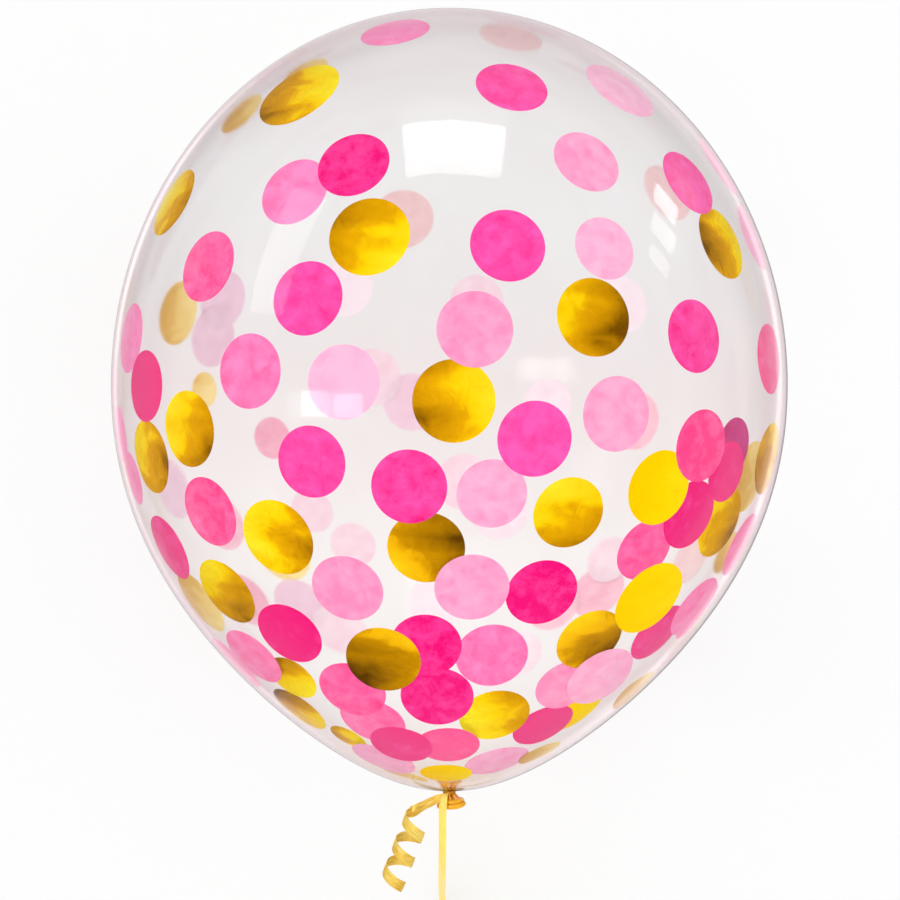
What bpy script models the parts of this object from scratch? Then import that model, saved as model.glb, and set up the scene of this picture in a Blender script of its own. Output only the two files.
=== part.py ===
"""Confetti balloon with a curling ribbon, lying on its side on a flat floor.

Units are metres, +Z is up. The balloon's axis runs along Y, with its crown at +Y and its neck at -Y.
The origin is the centre of the small flat spot that the balloon rests on.
"""

import math

import bmesh
import bpy
from mathutils import Euler, Matrix, Vector

# Balloon body
BODY_DIAMETER = 0.305
CROWN_LENGTH = 0.1697
BASE_LENGTH = 0.184
BASE_TAPER = 0.28
BASE_TAPER_POWER = 2.55
REST_FLAT_DEPTH = 0.002
BODY_STEPS = 64
CROWN_POINTS = 14
BASE_POINTS = 16

# Neck, from the pinch to the rolled lip
PINCH_RADIUS = 0.002
PINCH_WIDTH = 0.0028
FLARE_LENGTH = 0.0044
FLARE_RADIUS = 0.0052
FLARE_WAIST_SHARE = 0.45
LIP_BEAD_RADIUS = 0.0016
LIP_BEAD_POINTS = 7
LIP_BEAD_START = math.radians(110)
LIP_BEAD_SWEEP = math.radians(240)
MOUTH_DEPTH = 0.0028

# Ribbon
RIBBON_WIDTH = 0.005
CLEARANCE = 0.0003
KNOT_THICKNESS = 0.0011
KNOT_STEPS = 24
KNOT_LUMP_RADII = (0.0019, 0.001, 0.0015)
KNOT_LUMP_ANGLE = math.radians(125)
KNOT_LUMP_SHOWN = 0.4
KNOT_LUMP_SIDES = 16
TUBE_SIDES_RESOLUTION = 2
TAIL_SPACING = 2.4
CURL_RADIUS = 0.0062
CURL_LEAD_SHARE = 0.2
CURL_GROWS_OVER = 0.12

# Put-away coil and its tie
COIL_OUTER_TURN_RADIUS = 0.033
COIL_TURN_SPACING = 0.002
COIL_TURNS = 5.2
COIL_STEPS = 48
TIE_THICKNESS = 0.0005
TIE_WIDTH = 0.006

# Worked out from the values above
BODY_RADIUS = BODY_DIAMETER / 2
AXIS_HEIGHT = BODY_RADIUS - REST_FLAT_DEPTH
PINCH_START = BASE_LENGTH + CLEARANCE
PINCH_MIDDLE = PINCH_START + PINCH_WIDTH / 2
FLARE_START = PINCH_START + PINCH_WIDTH
LIP_MIDDLE = FLARE_START + FLARE_LENGTH
KNOT_INNER_RADIUS = PINCH_RADIUS + CLEARANCE
KNOT_OUTER_RADIUS = KNOT_INNER_RADIUS + KNOT_THICKNESS
KNOT_WIDTH = PINCH_WIDTH - 2 * CLEARANCE
COIL_LIFT = TIE_THICKNESS + 2 * CLEARANCE
COIL_INNER_TURN_RADIUS = COIL_OUTER_TURN_RADIUS - COIL_TURNS * COIL_TURN_SPACING

# The tail's route: out over the lip, down to the floor and along it to the coil.
# Each point is sideways from the axis, along the axis from the pinch, and up from the axis.
TAIL_ROUTE = (
    (-0.0031, -0.0013, 0.0096),
    (-0.0031, -0.0062, 0.0102),
    (-0.0031, -0.0125, 0.0096),
    (-0.0032, -0.0245, 0.0020),
    (-0.0034, -0.0375, -0.0170),
    (-0.0036, -0.0490, -0.0450),
    (-0.0038, -0.0590, -0.0790),
    (-0.0038, -0.0680, -0.1110),
    (-0.0036, -0.0790, -0.1360),
)
# The last stretch lies on the floor: sideways and along only.
TAIL_FLOOR_ROUTE = (
    (-0.0035, -0.0940),
    (-0.0035, -0.1100),
)
# The curled end's middle line: a lead that leaves the knot sideways, then the curl.
CURL_LEAD_ROUTE = (
    (-0.0068, -0.0019, 0.0060),
    (-0.0105, -0.0048, 0.0062),
    (-0.0138, -0.0085, 0.0062),
)
CURL_ROUTE = (
    (-0.0152, -0.0125, 0.0059),
    (-0.0176, -0.0190, 0.0052),
    (-0.0216, -0.0295, 0.0034),
    (-0.0264, -0.0420, 0.0008),
)


def clear_scene():
    for thing in list(bpy.data.objects):
        bpy.data.objects.remove(thing, do_unlink=True)


def new_collection(name):
    collection = bpy.data.collections.new(name)
    bpy.context.scene.collection.children.link(collection)
    return collection


def make_material(name, colour, roughness, metallic=0.0, alpha=1.0):
    material = bpy.data.materials.new(name)
    material.use_nodes = True
    shader = material.node_tree.nodes["Principled BSDF"]
    shader.inputs["Base Color"].default_value = (*colour, 1.0)
    shader.inputs["Roughness"].default_value = roughness
    shader.inputs["Metallic"].default_value = metallic
    shader.inputs["Alpha"].default_value = alpha
    return material


def add_object(name, data, collection, material=None):
    thing = bpy.data.objects.new(name, data)
    collection.objects.link(thing)
    if material is not None:
        data.materials.append(material)
    return thing


def from_pinch(offset):
    """World place of an offset (sideways, along the axis, up) from the middle of the pinch."""
    sideways, along, up = offset
    return Vector((sideways, along - PINCH_MIDDLE, AXIS_HEIGHT + up))


def profile_curve(name, points, closed=False):
    """An open or closed line of (radius, height) points in the XZ plane, ready for Screw."""
    mesh = bpy.data.meshes.new(name)
    shape = bmesh.new()
    corners = [shape.verts.new((radius, 0.0, height)) for radius, height in points]
    for first, second in zip(corners, corners[1:]):
        shape.edges.new((first, second))
    if closed:
        shape.edges.new((corners[-1], corners[0]))
    shape.to_mesh(mesh)
    shape.free()
    return mesh


def add_screw(thing, steps):
    screw = thing.modifiers.new("Screw", "SCREW")
    screw.axis = "Z"
    screw.steps = steps
    screw.render_steps = steps
    screw.use_merge_vertices = True
    screw.merge_threshold = 0.00001
    screw.use_smooth_shade = True
    return screw


def body_radius_at(distance):
    """Radius of the body at a distance from its widest ring: positive towards the neck."""
    if distance < 0:
        share = -distance / CROWN_LENGTH
        return BODY_RADIUS * math.sqrt(max(0.0, 1 - share**2))
    share = distance / BASE_LENGTH
    taper = 1 - BASE_TAPER * share**BASE_TAPER_POWER
    return BODY_RADIUS * math.sqrt(max(0.0, 1 - share**2)) * taper


def body_profile():
    """Points (radius, height) from the crown's pole down to where the neck begins."""
    points = []
    for i in range(CROWN_POINTS):
        angle = math.radians(90) * i / CROWN_POINTS
        distance = -CROWN_LENGTH * math.cos(angle)
        points.append((body_radius_at(distance), -distance))
    for i in range(BASE_POINTS):
        angle = math.radians(90) * i / BASE_POINTS
        distance = BASE_LENGTH * math.sin(angle)
        points.append((body_radius_at(distance), -distance))
    points[0] = (0.0, CROWN_LENGTH)
    return points


def neck_profile():
    """Points from the body's end through the pinch and the flare, round the lip, into the mouth."""
    points = [
        (PINCH_RADIUS + KNOT_THICKNESS, -BASE_LENGTH),
        (PINCH_RADIUS, -PINCH_START),
        (PINCH_RADIUS, -FLARE_START),
        ((PINCH_RADIUS + FLARE_RADIUS) / 2, -FLARE_START - FLARE_LENGTH * FLARE_WAIST_SHARE),
    ]
    for i in range(LIP_BEAD_POINTS):
        angle = LIP_BEAD_START - LIP_BEAD_SWEEP * i / (LIP_BEAD_POINTS - 1)
        outward = FLARE_RADIUS + LIP_BEAD_RADIUS * math.cos(angle)
        height = -LIP_MIDDLE + LIP_BEAD_RADIUS * math.sin(angle)
        points.append((outward, height))
    points.append((0.0, -LIP_MIDDLE + MOUTH_DEPTH))
    return points


def make_balloon(collection, cutters):
    """The blown-up skin with its neck, one sealed body, cut flat where it lies on the floor."""
    material = make_material("clear_latex", (0.93, 0.90, 0.91), 0.06, alpha=0.3)
    profile = profile_curve("balloon", body_profile() + neck_profile())
    balloon = add_object("balloon", profile, collection, material)
    balloon.location = (0.0, 0.0, AXIS_HEIGHT)
    balloon.rotation_euler = Euler((math.radians(-90), 0.0, 0.0))
    add_screw(balloon, BODY_STEPS)

    block = bpy.data.meshes.new("floor_cutter")
    shape = bmesh.new()
    bmesh.ops.create_cube(shape, size=BODY_DIAMETER)
    shape.to_mesh(block)
    shape.free()
    cutter = add_object("floor_cutter", block, cutters)
    cutter.location = (0.0, 0.0, -BODY_DIAMETER / 2)
    cutter.hide_render = True
    cutter.display_type = "WIRE"

    cut = balloon.modifiers.new("Rest flat", "BOOLEAN")
    cut.operation = "DIFFERENCE"
    cut.solver = "EXACT"
    cut.object = cutter
    return balloon


def make_knot(collection, cutters, gold):
    """The ribbon's wraps round the pinch, with the small lump of the knot on them."""
    half = KNOT_WIDTH / 2
    points = [
        (KNOT_OUTER_RADIUS, half),
        (KNOT_OUTER_RADIUS, -half),
        (KNOT_INNER_RADIUS, -half),
        (KNOT_INNER_RADIUS, half),
    ]
    knot = add_object("ribbon_knot", profile_curve("ribbon_knot", points, closed=True), collection, gold)
    knot.location = from_pinch((0.0, 0.0, 0.0))
    knot.rotation_euler = Euler((math.radians(-90), 0.0, 0.0))
    add_screw(knot, KNOT_STEPS)

    lump_mesh = bpy.data.meshes.new("knot_lump")
    shape = bmesh.new()
    bmesh.ops.create_uvsphere(
        shape, u_segments=KNOT_LUMP_SIDES, v_segments=KNOT_LUMP_SIDES // 2, radius=1.0
    )
    along_wrap, along_neck, off_neck = KNOT_LUMP_RADII
    stretch = Matrix.Diagonal((off_neck, along_neck, along_wrap, 1.0))
    bmesh.ops.transform(shape, matrix=stretch, verts=shape.verts)
    shape.to_mesh(lump_mesh)
    shape.free()
    lump = add_object("knot_lump", lump_mesh, cutters)
    reach = KNOT_OUTER_RADIUS + off_neck * KNOT_LUMP_SHOWN
    place = (reach * math.cos(KNOT_LUMP_ANGLE), 0.0, reach * math.sin(KNOT_LUMP_ANGLE))
    lump.location = from_pinch(place)
    lump.rotation_euler = Euler((0.0, -KNOT_LUMP_ANGLE, 0.0))
    lump.hide_render = True
    lump.display_type = "WIRE"

    join = knot.modifiers.new("Knot lump", "BOOLEAN")
    join.operation = "UNION"
    join.solver = "EXACT"
    join.object = lump
    return knot


def smooth_points(route, spacing):
    """Points about this far apart on one smooth curve through the route's points."""
    ends = [route[0] * 2 - route[1]] + list(route) + [route[-1] * 2 - route[-2]]
    dense = []
    for before, start, end, after in zip(ends, ends[1:], ends[2:], ends[3:]):
        pieces = max(2, round((end - start).length / spacing * 4))
        for i in range(pieces):
            t = i / pieces
            dense.append(
                start
                + (end - before) * (t / 2)
                + (before * 2 - start * 5 + end * 4 - after) * (t**2 / 2)
                + (start * 3 - before - end * 3 + after) * (t**3 / 2)
            )
    dense.append(route[-1].copy())
    runs = [0.0]
    for first, second in zip(dense, dense[1:]):
        runs.append(runs[-1] + (second - first).length)
    count = max(2, round(runs[-1] / spacing))
    points = []
    place = 0
    for i in range(count + 1):
        wanted = runs[-1] * i / count
        while place < len(runs) - 2 and runs[place + 1] < wanted:
            place += 1
        share = (wanted - runs[place]) / (runs[place + 1] - runs[place])
        points.append(dense[place].lerp(dense[place + 1], share))
    return points


def make_tube(name, points, radii, collection, material):
    """A round tube with filled caps along the points, with a radius for each point."""
    curve = bpy.data.curves.new(name, "CURVE")
    curve.dimensions = "3D"
    curve.bevel_depth = 1.0
    curve.bevel_resolution = TUBE_SIDES_RESOLUTION
    curve.use_fill_caps = True
    line = curve.splines.new("POLY")
    line.points.add(len(points) - 1)
    for corner, point, radius in zip(line.points, points, radii):
        corner.co = (*point, 1.0)
        corner.radius = radius
    return add_object(name, curve, collection, material)


def make_tail(collection, gold):
    """The long end of the ribbon, from the knot over the lip and down to the floor by the coil."""
    floor_height = RIBBON_WIDTH / 2 + COIL_LIFT
    route = [from_pinch(offset) for offset in TAIL_ROUTE]
    for sideways, along in TAIL_FLOOR_ROUTE:
        route.append(Vector((sideways, along - PINCH_MIDDLE, floor_height)))
    points = smooth_points(route, RIBBON_WIDTH * TAIL_SPACING)
    return make_tube("ribbon_tail", points, [RIBBON_WIDTH / 2] * len(points), collection, gold)


def make_curl(collection, gold):
    """The curled short end: a lead as thick as the ribbon is wide, then its curl's outer diameter."""
    route = [from_pinch(offset) for offset in CURL_LEAD_ROUTE + CURL_ROUTE]
    points = smooth_points(route, RIBBON_WIDTH / 2)
    radii = []
    for i in range(len(points)):
        share = i / (len(points) - 1)
        grown = min(1.0, max(0.0, (share - CURL_LEAD_SHARE) / CURL_GROWS_OVER))
        radii.append(RIBBON_WIDTH / 2 + (CURL_RADIUS - RIBBON_WIDTH / 2) * grown)
    return make_tube("ribbon_curl", points, radii, collection, gold)


def coil_section():
    """Inner radius, outer radius, bottom and top of the space that the coil's turns fill."""
    margin = COIL_TURN_SPACING / 2
    inner = COIL_INNER_TURN_RADIUS - margin
    outer = COIL_OUTER_TURN_RADIUS + margin
    return inner, outer, COIL_LIFT, COIL_LIFT + RIBBON_WIDTH


def coil_centre():
    """Floor place of the coil's middle: its outer turn runs on from the tail's last point."""
    sideways, along = TAIL_FLOOR_ROUTE[-1]
    outer = COIL_OUTER_TURN_RADIUS + COIL_TURN_SPACING / 2
    reach = outer + CLEARANCE + RIBBON_WIDTH / 2
    beyond = math.sqrt(reach**2 - COIL_OUTER_TURN_RADIUS**2)
    return Vector((sideways + COIL_OUTER_TURN_RADIUS, along - PINCH_MIDDLE - beyond, 0.0))


def make_coil(collection, gold):
    """One ring of the outer shape of the wound ribbon."""
    inner, outer, bottom, top = coil_section()
    points = [(outer, top), (outer, bottom), (inner, bottom), (inner, top)]
    coil = add_object("ribbon_coil", profile_curve("ribbon_coil", points, closed=True), collection, gold)
    coil.location = coil_centre()
    add_screw(coil, COIL_STEPS)
    return coil


def make_tie(collection, gold):
    """A narrow band round the coil's section, on the side that is furthest from the balloon."""
    inner, outer, bottom, top = coil_section()
    near = inner - CLEARANCE
    far = outer + CLEARANCE
    low = bottom - CLEARANCE
    high = top + CLEARANCE
    mesh = bpy.data.meshes.new("coil_tie")
    shape = bmesh.new()
    places = ((near, low), (far, low), (far, high), (near, high))
    corners = [shape.verts.new((-TIE_WIDTH / 2, -radial, up)) for radial, up in places]
    edges = [shape.edges.new((corners[i - 1], corners[i])) for i in range(len(corners))]
    swept = bmesh.ops.extrude_edge_only(shape, edges=edges)
    moved = [item for item in swept["geom"] if isinstance(item, bmesh.types.BMVert)]
    bmesh.ops.translate(shape, verts=moved, vec=(TIE_WIDTH, 0.0, 0.0))
    shape.to_mesh(mesh)
    shape.free()
    tie = add_object("coil_tie", mesh, collection, gold)
    tie.location = coil_centre()
    band = tie.modifiers.new("Band thickness", "SOLIDIFY")
    band.thickness = TIE_THICKNESS
    band.offset = 1.0
    band.use_even_offset = True
    return tie


def main():
    clear_scene()
    parts = new_collection("confetti_balloon")
    cutters = new_collection("cutters")
    gold = make_material("gold_ribbon", (0.80, 0.52, 0.12), 0.3, metallic=0.6)
    tail_gold = make_material("pale_gold_ribbon", (0.90, 0.72, 0.30), 0.35, metallic=0.4)
    coil_gold = make_material("coiled_gold_ribbon", (0.88, 0.68, 0.26), 0.35, metallic=0.4)
    tie_gold = make_material("tie_gold", (0.72, 0.45, 0.10), 0.3, metallic=0.6)
    curl_gold = make_material("curled_gold_ribbon", (0.84, 0.58, 0.16), 0.28, metallic=0.6)
    make_balloon(parts, cutters)
    make_knot(parts, cutters, gold)
    make_curl(parts, curl_gold)
    make_tail(parts, tail_gold)
    make_coil(parts, coil_gold)
    make_tie(parts, tie_gold)
    cutters.hide_render = True


main()
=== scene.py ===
"""Looks of the confetti balloon: clear film, amber neck, confetti against the wall and curling ribbon.

Units are metres in the frame's own axes: +Z up, the balloon's axis along Y with its neck at -Y.
"""

import random
from collections import namedtuple
from math import copysign, cos, hypot, pi, radians, sin, sqrt

import bpy
from mathutils import Matrix, Quaternion, Vector


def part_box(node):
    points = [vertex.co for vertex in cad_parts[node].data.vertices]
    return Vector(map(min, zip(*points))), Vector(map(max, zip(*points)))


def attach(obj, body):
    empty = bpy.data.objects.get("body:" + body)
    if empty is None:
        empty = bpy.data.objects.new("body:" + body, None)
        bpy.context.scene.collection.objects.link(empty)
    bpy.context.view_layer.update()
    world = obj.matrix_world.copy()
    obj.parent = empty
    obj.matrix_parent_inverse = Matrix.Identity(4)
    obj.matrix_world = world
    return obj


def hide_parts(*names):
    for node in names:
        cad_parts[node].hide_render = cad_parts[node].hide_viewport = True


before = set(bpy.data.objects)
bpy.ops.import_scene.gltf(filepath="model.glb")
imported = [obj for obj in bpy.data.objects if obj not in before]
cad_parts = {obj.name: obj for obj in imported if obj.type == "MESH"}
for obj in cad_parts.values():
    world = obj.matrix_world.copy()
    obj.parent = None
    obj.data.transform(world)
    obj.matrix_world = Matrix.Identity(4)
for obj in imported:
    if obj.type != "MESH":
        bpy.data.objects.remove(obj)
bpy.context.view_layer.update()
BALLOON_LOW, BALLOON_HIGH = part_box("balloon")
COIL_LOW, COIL_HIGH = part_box("ribbon_coil")
COIL_MIDDLE = (COIL_LOW + COIL_HIGH) / 2
COIL_RADIUS = (COIL_HIGH[0] - COIL_LOW[0]) / 2

# Balloon body, as the solid has it
BODY_RADIUS = (BALLOON_HIGH[0] - BALLOON_LOW[0]) / 2
AXIS_HEIGHT = BALLOON_HIGH[2] - BODY_RADIUS
CROWN_LENGTH = BALLOON_HIGH[1]
BASE_LENGTH = 0.184
BASE_TAPER = 0.28
BASE_TAPER_POWER = 2.55
PINCH_MIDDLE = BASE_LENGTH + 0.0017
FILM_THICKNESS = 0.00025
FILM_SIDES = 192
FILM_CROWN_RINGS = 64
FILM_BASE_RINGS = 80

# Neck, from the funnel inside the film to the rolled lip
NECK_PINCH_MIDDLE = BASE_LENGTH + 0.0008
NECK_PINCH_WIDTH = 0.0016
FUNNEL_LENGTH = 0.0042
FUNNEL_RADIUS = 0.0057
PINCH_RADIUS = 0.0022
FLARE_LENGTH = 0.0027
FLARE_RADIUS = 0.0047
UPPER_ROLL_RADIUS = 0.0010
LOWER_ROLL_RADIUS = 0.0013
ROLL_SPACING = 0.0019
LIP_SHIFT = 0.0009
ROLL_PLEATS = 0.012
# How much painted crease shade the rolls carry
ROLL_CREASE_SHADE = 0.10
NECK_SIDES = 144
NECK_PLEATS = 9

# Confetti
TISSUE_RADIUS = 0.0151
FOIL_RADIUS = 0.0158
DISC_THICKNESS = 0.0001
DISC_RINGS = 8
DISC_SIDES = 48
DISC_GAP = 0.0002
LAYER_STEP = 0.0004
HEAP_STEP = 0.0012
# How far towards the neck the heap starts and ends, each between two distances
HEAP_STARTS = (0.07, 0.12)
HEAP_ENDS = (0.135, 0.165)
HEAP_HALF_WIDTH = 0.10
HEAP_REACH = 0.02
MOST_LEAN = radians(12)
LEAST_CLEARANCE = 0.00015
DEEPER_STEP = 0.0009
MOST_TRIES = 9
TISSUE_WRINKLE = 0.00008
FOIL_WRINKLE = 0.00014
HIDDEN_DISC_RADIUS = 0.0142
# The foil's painted reflections: ramp stops from painted shade to painted highlight, where the step lies and
# how fast it comes
FOIL_STOPS = (0.0, 0.22, 0.48, 0.60, 0.95)
FOIL_HIGHLIGHT_EDGE = 0.545
FOIL_SPREAD = 0.33

# Ribbon
RIBBON_WIDTH = 0.005
RIBBON_THICKNESS = 0.00016
RIBBON_CUP = 0.00018
RIBBON_STEPS_ACROSS = 6
GATHERED_SHARE = 0.3
GATHERED_LENGTH = 0.007
TAIL_DROP = 0.0023
TAIL_SPACING = 0.0025
TAIL_LEAN = radians(48)
# How far towards the neck the tail turns flat, then on edge, each between two distances
TAIL_LIES = (0.260, 0.280)
TAIL_STANDS = (0.280, 0.299)
COIL_TURNS = 5.2
COIL_TURN_SPACING = 0.002
COIL_POINTS_A_TURN = 36
CURL_RADIUS = 0.0058
CURL_SPACING = 0.0008
CURL_START_ANGLE = radians(238)
CURL_SWEEP = radians(238 + 702)
CURL_STEPS = 170
CURL_JOIN = 4
CURL_BEGINS = (0.010, 0.021)
CURL_LEAD_WIDTH_WAY = Vector((0.30, -0.60, 0.74))
KNOT_TURNS = 2.7
KNOT_STEPS = 170
KNOT_WIDTH = 0.0012
TIE_TURNS = 1.25
TIE_STEPS_A_TURN = 72
TIE_SPACING = 0.0006

BLACK = (0.0, 0.0, 0.0)
WHITE = (1.0, 1.0, 1.0)
UP = Vector((0.0, 0.0, 1.0))
SHARP_ANGLE = radians(50)

# Camera, straight above the lying balloon
PHOTO_SIDE = 900
SENSOR_WIDTH = 36.0
LENS = 87.73
CAMERA_PLACE = Vector((0.0003, -0.02915, AXIS_HEIGHT + 1.0))
PHOTO_MIDDLE = PHOTO_SIDE / 2
PHOTO_REACH = LENS / SENSOR_WIDTH * PHOTO_SIDE

# The tail's route from the knot over the lip and down: sideways, along and up from the pinch
TAIL_ROUTE = (
    (-0.0010, 0.0004, 0.0041), (-0.0026, -0.0012, 0.0082), (-0.0031, -0.0062, 0.0102),
    (-0.0031, -0.0125, 0.0096), (-0.0032, -0.0245, 0.0020), (-0.0034, -0.0375, -0.0170),
    (-0.0036, -0.0490, -0.0450), (-0.0038, -0.0590, -0.0790), (-0.0038, -0.0680, -0.1110),
    (-0.0036, -0.0790, -0.1360),
)
TAIL_FLOOR_ROUTE = ((-0.0035, -0.0940), (-0.0035, -0.1100))
# The curled end: a lead from the knot, then the line that the curl winds round
CURL_LEAD_ROUTE = (
    (-0.0012, 0.0001, 0.0024), (-0.0055, -0.0020, 0.0040), (-0.0110, -0.0048, 0.0027),
)
CURL_AXIS_ROUTE = (
    (-0.0144, -0.0098, 0.0062), (-0.0182, -0.0196, 0.0052), (-0.0222, -0.0302, 0.0034),
    (-0.0258, -0.0398, 0.0012),
)

# A disc: its kind, its centre's pixel across and down the photo, how bright it is, 0 to 1, its radius where
# it isn't the usual one, and the way that its painted highlight faces in the photo (degrees, 0 right and 90
# up).
# How bright a tissue disc is holds its own tone and also painted light and shade; for foil it is how much
# painted highlight it has.
Disc = namedtuple("Disc", "kind across down tone radius bright_way", defaults=(0.45, None, 0.0))

# Against the near wall, front ones first; the pale_gold ones by the rim carry the far foil's painted veil of
# light
NEAR_CONFETTI = (
    ("mid", 395, 31, 0.8), ("gold", 298, 93, 0.44, 0.019, 20), ("hot", 512, 86, 0.6),
    ("light", 621, 89, 0.8, 0.017), ("hot", 353, 164, 0.35), ("mid", 294, 191, 0.8),
    ("light", 587, 161, 0.45, 0.0145), ("hot", 689, 182, 0.6), ("gold", 369, 236, 0.3, 0.0165, -45),
    ("gold", 173, 202, 0.55, None, 150), ("gold", 722, 243, 0.36, None, 20), ("mid", 207, 266, 0.4),
    ("hot", 508, 245, 0.7), ("light", 605, 248, 0.75, 0.0132), ("hot", 307, 298, 0.7),
    ("gold", 594, 317, 0.14, None, 178), ("hot", 695, 336, 0.55), ("light", 475, 329),
    ("mid", 249, 371, 0.75), ("light", 343, 382, 0.9, 0.0148), ("mid", 770, 359, 0.25),
    ("gold", 454, 401, 0.38, 0.0164), ("hot", 145, 386, 0.0), ("mid", 130, 338, 0.8),
    ("gold", 188, 429, 0.44, None, 160), ("light", 617, 414, 0.55), ("hot", 535, 439, 0.8),
    ("hot", 311, 462, 0.65, 0.0146), ("hot", 409, 487, 0.55), ("mid", 702, 446, 0.2),
    ("yellow", 660, 488), ("hot", 727, 472, 0.1, 0.013), ("hot", 690, 515, 0.1),
    ("plum", 734, 447, 0.45, 0.0125), ("gold", 721, 523, 0.36, None, 150),
    ("gold", 150, 457, 0.36, None, 172), ("light", 492, 494, 0.6, 0.0141),
    ("gold", 569, 513, 0.45, 0.0149, 110), ("gold", 768, 459, 0.46), ("pale_gold", 750, 477),
    ("mid", 209, 512, 0.3), ("gold", 277, 538, 0.5, 0.0165, 172), ("light", 472, 588),
    ("bronze", 426, 548, 0.3, None, 200), ("hot", 169, 548, 0.2), ("yellow", 650, 599, 0.45, 0.0175),
    ("mid", 645, 550, 0.4, 0.0138), ("mid", 740, 545, 0.5), ("light", 347, 589, 0.3),
    ("hot", 542, 593, 0.25), ("gold", 226, 592, 0.36, None, 120), ("mid", 695, 607, 0.6),
    ("hot", 289, 634, 0.1), ("light", 601, 677, 0.65, 0.016), ("bronze", 590, 640, 0.46, 0.0155, 140),
    ("hot", 658, 633, 0.2), ("bronze", 383, 660, 0.25, None, 60), ("hot", 426, 646, 0.3),
    ("hot", 437, 697, 0.3, 0.0159), ("mid", 492, 656, 0.7, 0.0155), ("mid", 253, 657, 0.6),
    ("gold", 292, 678, 0.45, 0.012, -60), ("light", 566, 685, 0.3, 0.014), ("mid", 352, 690, 0.4, 0.015),
    ("hot", 401, 745, 0.15, 0.0138), ("mid", 448, 746, 0.1, 0.014), ("gold", 495, 717, 0.72, 0.0158, 205),
    ("mid", 372, 722, 0.5), ("gold", 299, 710, 0.3, 0.014, -60), ("hot", 544, 727, 0.05, 0.0145),
    ("yellow", 582, 722), ("light", 383, 760), ("light", 497, 762), ("pale_gold", 540, 753, 0.45, 0.0105),
    ("yellow", 446, 774, 0.45, 0.012), ("gold", 348, 738, 0.4, 0.009, -30),
    ("pale_gold", 405, 776, 0.45, 0.011), ("mid", 120, 434, 0.7, 0.0125), ("mid", 133, 478, 0.7, 0.012),
    ("light", 720, 166), ("light", 753, 237), ("mid", 235, 663, 0.7), ("mid", 698, 612, 0.7),
    ("pale_gold", 200, 602), ("pale_gold", 636, 693, 0.45, 0.012),
)
# Against the far wall, seen through the whole balloon; their paler colours are a painted veil of light over
# the same tissues and foil
FAR_CONFETTI = (
    ("dusty", 402, 219, 0.45, 0.0165), ("pale_gold", 241, 113, 0.45, 0.0125),
    ("pale_gold", 305, 73, 0.45, 0.012), ("pale_gold", 177, 313), ("pale_gold", 204, 390, 0.9, 0.009),
    ("pale_gold", 283, 553, 0.9), ("mauve", 222, 300), ("mauve", 212, 337), ("mauve", 172, 489),
    ("mauve", 300, 605), ("pale", 345, 288, 0.9), ("dusty", 511, 36, 0.3), ("dusty", 668, 192),
    ("pale", 622, 304, 0.9), ("pale", 477, 301, 0.4, 0.014), ("pale", 548, 404, 0.8, 0.0132),
    ("mauve", 412, 402), ("pale", 373, 377, 0.4, 0.015), ("rose", 272, 438, 0.45, 0.0108),
    ("pale", 312, 511, 0.4, 0.0118), ("pale", 353, 545, 0.4, 0.0122), ("pale", 464, 482, 0.4),
    ("pale", 500, 512, 0.7), ("rose", 598, 592, 0.7), ("rose", 634, 420, 0.9, 0.0155),
    ("rose", 221, 522, 0.8), ("rose", 246, 600, 0.5), ("pale", 438, 602, 0.9), ("pale", 513, 655, 0.7),
    ("rose", 553, 607, 0.9, 0.014), ("dusty", 690, 561, 0.6, 0.013), ("pale_gold", 727, 553, 0.45, 0.011),
    ("pale", 340, 630, 0.5), ("pale", 610, 560, 0.5, 0.013),
)
# More of the far side's discs lie where near ones hide them in the photo
HIDING_KINDS = ("hot", "gold", "yellow", "bronze")
HIDDEN_KINDS = ("hot", "mid", "light", "gold", "mid", "light")
LOWEST_HIDING = 640

KINDS = {
    "hot": ("hot_pink_confetti", "hot_pink_tissue"),
    "mid": ("mid_pink_confetti", "mid_pink_tissue"),
    "light": ("light_pink_confetti", "light_pink_tissue"),
    "gold": ("gold_foil_confetti", "gold_foil"),
    # The same gold foil, darker all over by painted shade
    "bronze": ("shaded_foil_confetti", "gold_foil"),
    # The same gold foil, evenly bright by painted light
    "yellow": ("bright_foil_confetti", "gold_foil"),
    # The hot pink tissue, darker by painted shade
    "plum": ("shaded_pink_confetti", "hot_pink_tissue"),
    # Far kinds: the same tissues and foil, paled by a painted veil of light
    "rose": ("far_rose_confetti", "mid_pink_tissue"),
    "dusty": ("far_mid_pink_confetti", "mid_pink_tissue"),
    "mauve": ("far_hot_pink_confetti", "hot_pink_tissue"),
    "pale": ("far_light_pink_confetti", "light_pink_tissue"),
    "pale_gold": ("far_foil_confetti", "gold_foil"),
}
FOIL_KINDS = ("gold", "bronze", "yellow", "pale_gold")
FAR_KINDS = ("rose", "dusty", "mauve", "pale", "pale_gold")


def linear(red, green, blue):
    """A colour read from the photo, 0 to 255, as the linear colour that shaders take."""
    shares = [value / 255 for value in (red, green, blue)]
    return tuple(s / 12.92 if s <= 0.04045 else ((s + 0.055) / 1.055) ** 2.4 for s in shares)


def new_object(name, data):
    thing = bpy.data.objects.new(name, data)
    bpy.context.scene.collection.objects.link(thing)
    return thing


def mesh_object(name, places, faces):
    mesh = bpy.data.meshes.new(name)
    mesh.from_pydata([tuple(place) for place in places], [], faces)
    mesh.validate()
    mesh.shade_smooth()
    return new_object(name, mesh)


def ring_faces(near, far, sides):
    """Quads between two rings of corners, given by the number of each ring's first corner."""
    pairs = [(k, (k + 1) % sides) for k in range(sides)]
    return [(near + k, far + k, far + after, near + after) for k, after in pairs]


def fan_faces(middle, ring, sides):
    """Triangles from one corner to the ring of corners round it."""
    return [(middle, ring + k, ring + (k + 1) % sides) for k in range(sides)]


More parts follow.
